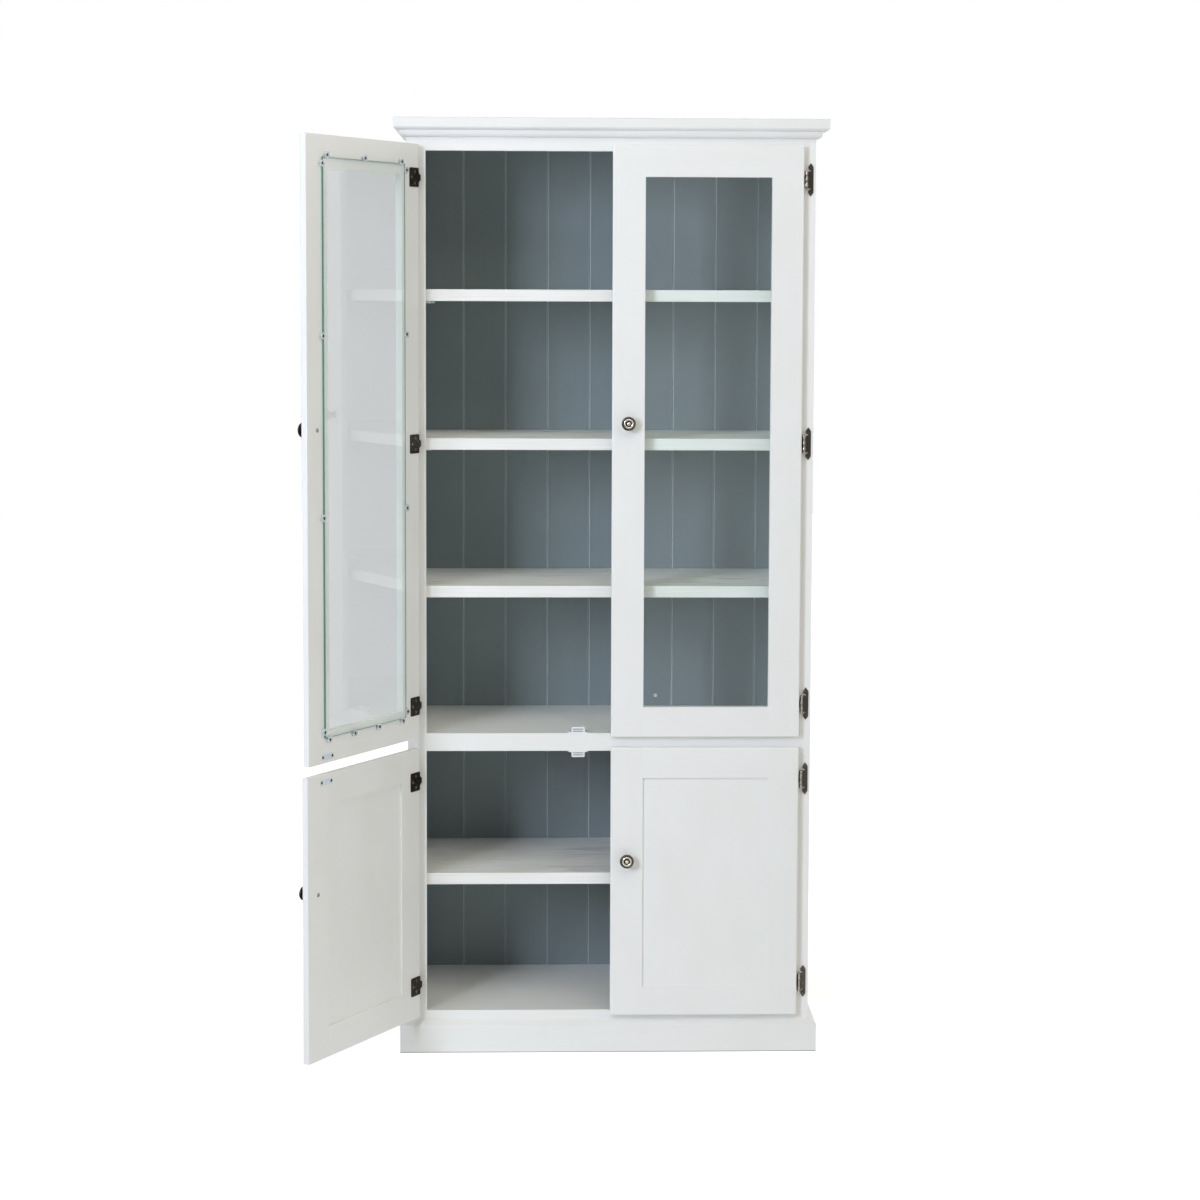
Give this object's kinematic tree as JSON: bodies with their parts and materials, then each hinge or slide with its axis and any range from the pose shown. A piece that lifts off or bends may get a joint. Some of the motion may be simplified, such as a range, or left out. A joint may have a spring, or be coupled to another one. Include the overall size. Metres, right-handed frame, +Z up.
{
  "type": "display cabinet",
  "caption": "Tall painted display cabinet with a moulded cornice and plinth, glazed upper doors, panelled lower doors, shelves, hinges, knobs and magnetic catches.",
  "frame": {"origin": "on the floor under the middle of the face frame's front plane", "axes": "+X to the right seen from the front, +Y into the cabinet, +Z up"},
  "size_m": [1.0956, 0.7526, 2],
  "materials": {
    "painted_wood": "white satin paint",
    "painted_back": "blue-grey satin paint",
    "glass": "clear float glass",
    "clear_plastic": "clear",
    "white_plastic": "gloss",
    "zinc_steel": "zinc plated",
    "dark_bronze": "dark antique bronze"
  },
  "bodies": {
    "carcass": {"side_left": "painted_wood", "side_right": "painted_wood", "top_panel": "painted_wood", "middle_board": "painted_wood", "floor_board": "painted_wood", "back_boards": "painted_back", "frame_stile_left": "painted_wood", "frame_stile_right": "painted_wood", "frame_top_rail": "painted_wood", "frame_middle_rail": "painted_wood", "frame_bottom_rail": "painted_wood", "cornice_front": "painted_wood", "cornice_left": "painted_wood", "cornice_right": "painted_wood", "plinth_front": "painted_wood", "plinth_left": "painted_wood", "plinth_right": "painted_wood", "upper_shelf_1": "painted_wood", "upper_shelf_2": "painted_wood", "upper_shelf_3": "painted_wood", "lower_shelf": "painted_wood", "shelf_supports": "zinc_steel", "catch_cases": "white_plastic", "catch_magnets": "zinc_steel", "frame_hinge_leaves": "dark_bronze", "hinge_pins": "dark_bronze", "frame_screws": "dark_bronze"},
    "upper_left_door": {"upper_left_stiles": "painted_wood", "upper_left_rails": "painted_wood", "upper_left_glass": "glass", "upper_left_clips": "clear_plastic", "upper_left_knob": "dark_bronze", "upper_left_strike": "zinc_steel", "upper_left_hinge_leaves": "dark_bronze", "upper_left_screws": "dark_bronze"},
    "upper_right_door": {"upper_right_stiles": "painted_wood", "upper_right_rails": "painted_wood", "upper_right_glass": "glass", "upper_right_clips": "clear_plastic", "upper_right_knob": "dark_bronze", "upper_right_strike": "zinc_steel", "upper_right_hinge_leaves": "dark_bronze", "upper_right_screws": "dark_bronze"},
    "lower_left_door": {"lower_left_stiles": "painted_wood", "lower_left_rails": "painted_wood", "lower_left_panel": "painted_wood", "lower_left_knob": "dark_bronze", "lower_left_strike": "zinc_steel", "lower_left_hinge_leaves": "dark_bronze", "lower_left_screws": "dark_bronze"},
    "lower_right_door": {"lower_right_stiles": "painted_wood", "lower_right_rails": "painted_wood", "lower_right_panel": "painted_wood", "lower_right_knob": "dark_bronze", "lower_right_strike": "zinc_steel", "lower_right_hinge_leaves": "dark_bronze", "lower_right_screws": "dark_bronze"}
  },
  "joints": [
    {"name": "upper_left_hinge", "type": "hinge", "parent": "carcass", "child": "upper_left_door", "pos_m": [-0.41125, -0.011, 1.3155], "axis": [0, 0, -1], "range_deg": [-120.5, 49.5]},
    {"name": "upper_right_hinge", "type": "hinge", "parent": "carcass", "child": "upper_right_door", "pos_m": [0.41125, -0.011, 1.3155], "axis": [0, 0, 1], "range_deg": [0, 170]},
    {"name": "lower_left_hinge", "type": "hinge", "parent": "carcass", "child": "lower_left_door", "pos_m": [-0.41125, -0.011, 0.37265], "axis": [0, 0, -1], "range_deg": [-121, 49]},
    {"name": "lower_right_hinge", "type": "hinge", "parent": "carcass", "child": "lower_right_door", "pos_m": [0.41125, -0.011, 0.37265], "axis": [0, 0, 1], "range_deg": [0, 170]}
  ]
}
